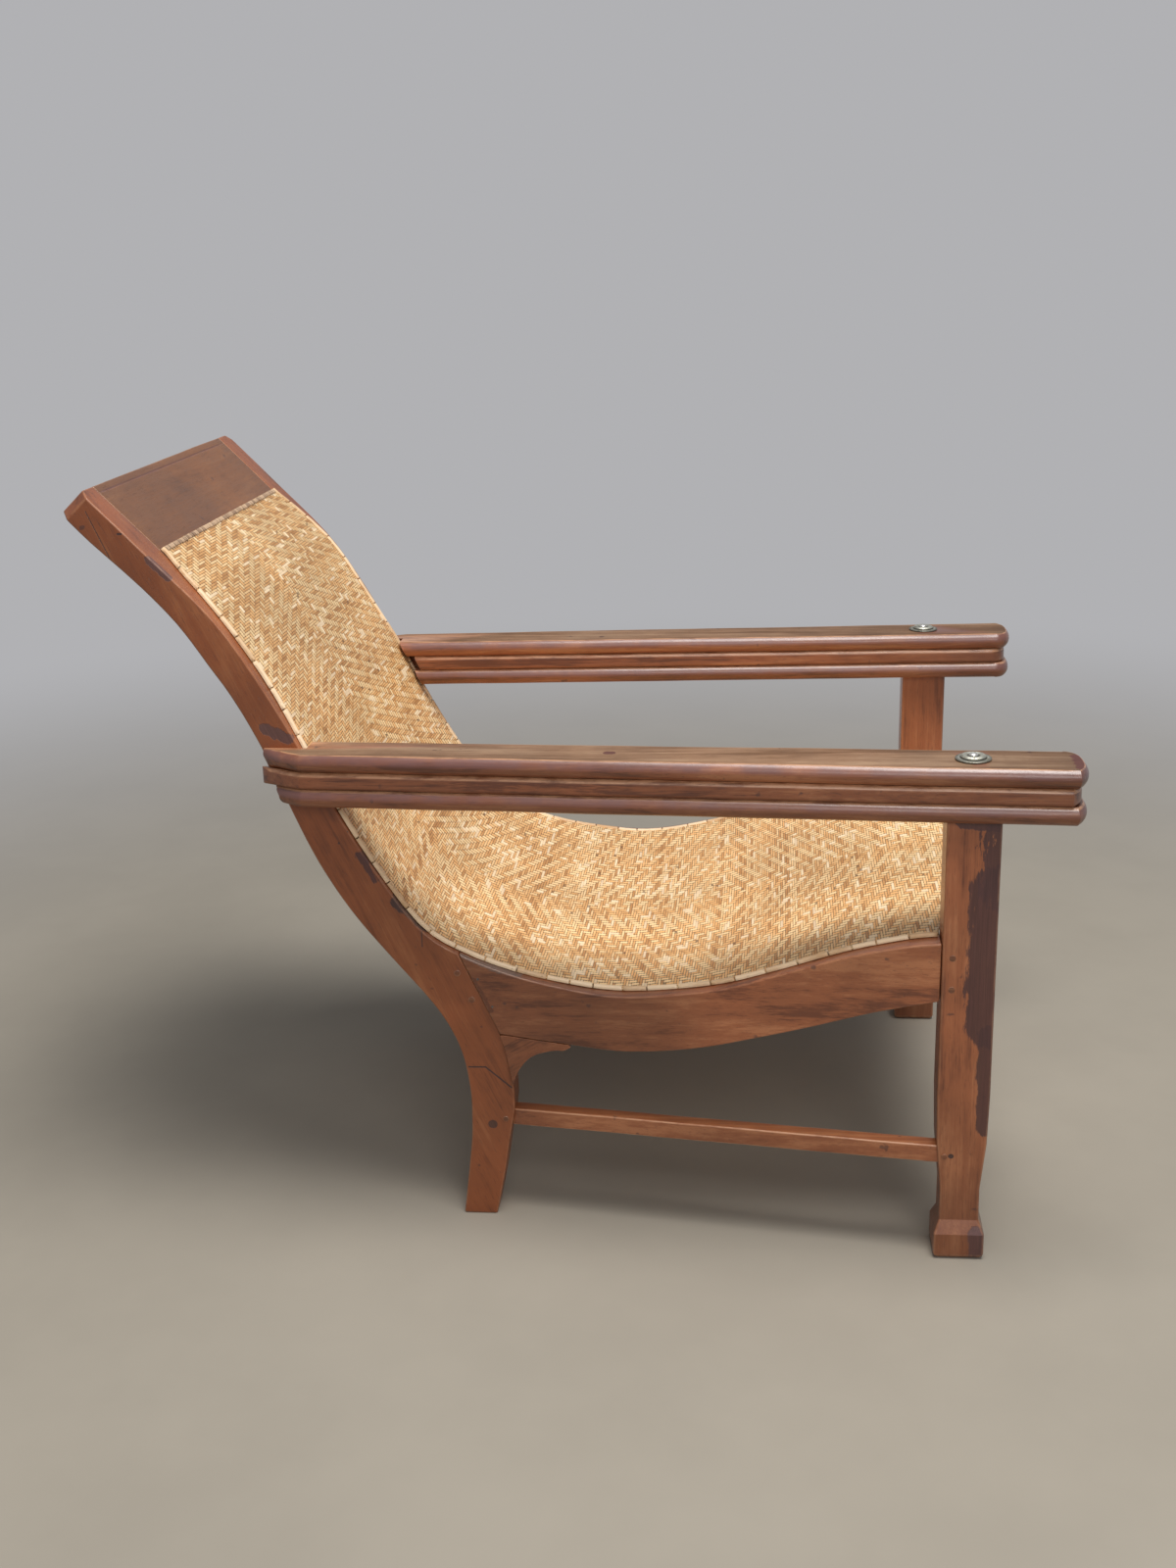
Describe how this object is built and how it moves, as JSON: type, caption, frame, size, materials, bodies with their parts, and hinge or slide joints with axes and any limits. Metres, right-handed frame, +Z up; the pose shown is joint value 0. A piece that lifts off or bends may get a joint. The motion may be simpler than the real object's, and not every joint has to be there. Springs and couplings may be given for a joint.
{
  "type": "planters chair",
  "caption": "Reclined lounge chair of curved hardwood planks with a woven cane seat, long flat arms and leg rests that swing out from under them.",
  "frame": {"origin": "centre of the whole chair's footprint box, on the floor", "axes": "+Z up; the sitter faces -Y; +X to the sitter's left, across the chair; X = 0 is the plane of symmetry"},
  "size_m": [0.7148, 1.0922, 0.867],
  "materials": {
    "teak": "worn oil finish, warm mid brown with a purple-grey tinge on handled edges",
    "peg_wood": "dark end grain",
    "cane": "golden split cane, woven in a twill",
    "rattan": "pale split rattan, slightly glossy",
    "steel": "dull zinc-plated steel"
  },
  "bodies": {
    "chair_frame": {"left_stile": "teak", "left_side_rail": "teak", "left_knee_bracket": "teak", "left_front_leg": "teak", "left_side_stretcher": "teak", "left_armrest": "teak", "left_lower_arm_rail": "teak", "left_pivot_bolt": "steel", "left_flat_washer": "steel", "left_cup_washer": "steel", "left_edge_binding": "rattan", "left_stile_peg_1": "peg_wood", "left_stile_peg_2": "peg_wood", "left_leg_peg_1": "peg_wood", "left_leg_peg_2": "peg_wood", "left_stretcher_peg_1": "peg_wood", "left_stretcher_peg_2": "peg_wood", "left_rail_nail_1": "steel", "left_rail_nail_2": "steel", "left_arm_screw_1": "steel", "left_arm_screw_2": "steel", "right_stile": "teak", "right_side_rail": "teak", "right_knee_bracket": "teak", "right_front_leg": "teak", "right_side_stretcher": "teak", "right_armrest": "teak", "right_lower_arm_rail": "teak", "right_pivot_bolt": "steel", "right_flat_washer": "steel", "right_cup_washer": "steel", "right_edge_binding": "rattan", "right_stile_peg_1": "peg_wood", "right_stile_peg_2": "peg_wood", "right_leg_peg_1": "peg_wood", "right_leg_peg_2": "peg_wood", "right_stretcher_peg_1": "peg_wood", "right_stretcher_peg_2": "peg_wood", "right_rail_nail_1": "steel", "right_rail_nail_2": "steel", "right_arm_screw_1": "steel", "right_arm_screw_2": "steel", "crest_board": "teak", "front_seat_rail": "teak", "back_cross_rail": "teak", "woven_panel": "cane", "top_binding": "rattan", "front_binding": "rattan"},
    "right_rest": {"right_leg_rest": "teak"},
    "left_rest": {"left_leg_rest": "teak"}
  },
  "joints": [
    {"name": "right_leg_rest_swing", "type": "hinge", "parent": "chair_frame", "child": "right_rest", "pos_m": [-0.3124, -0.4296, 0.55], "axis": [0, 0, 1], "range_deg": [0, 180]},
    {"name": "left_leg_rest_swing", "type": "hinge", "parent": "chair_frame", "child": "left_rest", "pos_m": [0.3124, -0.4296, 0.55], "axis": [0, 0, -1], "range_deg": [0, 180]}
  ]
}
